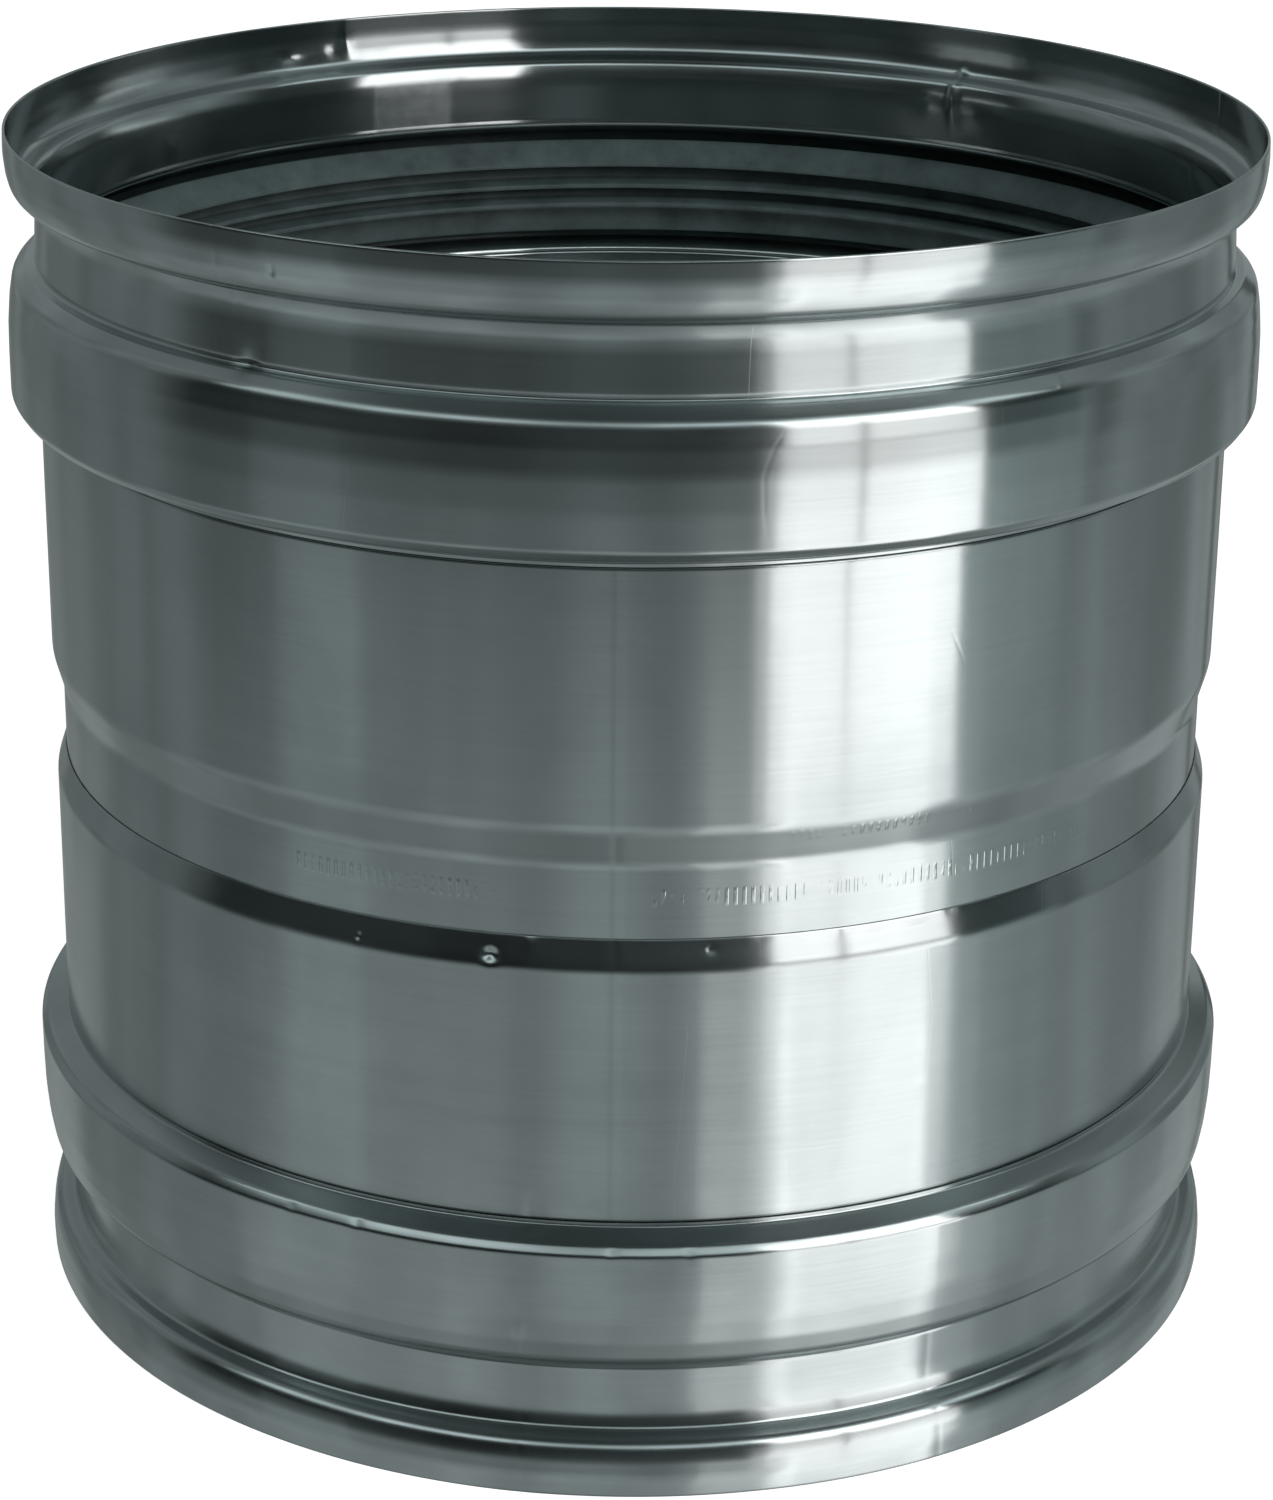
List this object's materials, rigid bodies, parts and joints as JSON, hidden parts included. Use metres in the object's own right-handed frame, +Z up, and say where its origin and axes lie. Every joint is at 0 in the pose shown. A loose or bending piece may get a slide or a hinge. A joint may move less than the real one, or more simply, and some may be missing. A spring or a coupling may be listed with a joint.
{
  "type": "flue expansion joint",
  "caption": "Thin stainless sleeve expansion joint for a round flue: telescoping sleeves with a flared socket, gasket bead and lip gasket at each end.",
  "frame": {"origin": "centre of the lower rim's circle, on the surface that the joint stands on", "axes": "+Z up the pipe axis towards the upper socket; the shape is the same all round it"},
  "size_m": [0.2118, 0.2118, 0.203],
  "materials": {
    "stainless_sheet": "bright cold-rolled stainless sheet, mirror-like, with faint rolling grain",
    "silicone": "dark grey moulded silicone, satin, slightly dusty",
    "graphite_foil": "pressed graphite foil, soft dark sheen"
  },
  "bodies": {
    "lower_body": {"lower_sleeve": "stainless_sheet", "lower_socket_ring": "stainless_sheet", "lower_gasket": "silicone", "seal_band": "graphite_foil", "seal_retainer": "stainless_sheet"},
    "upper_body": {"upper_sleeve": "stainless_sheet", "upper_socket_ring": "stainless_sheet", "upper_gasket": "silicone", "spigot_stop_ring": "stainless_sheet"}
  },
  "joints": [
    {"name": "expansion_slide", "type": "slide", "parent": "lower_body", "child": "upper_body", "axis": [0, 0, 1], "range_m": [-0.0115, 0.007]}
  ]
}
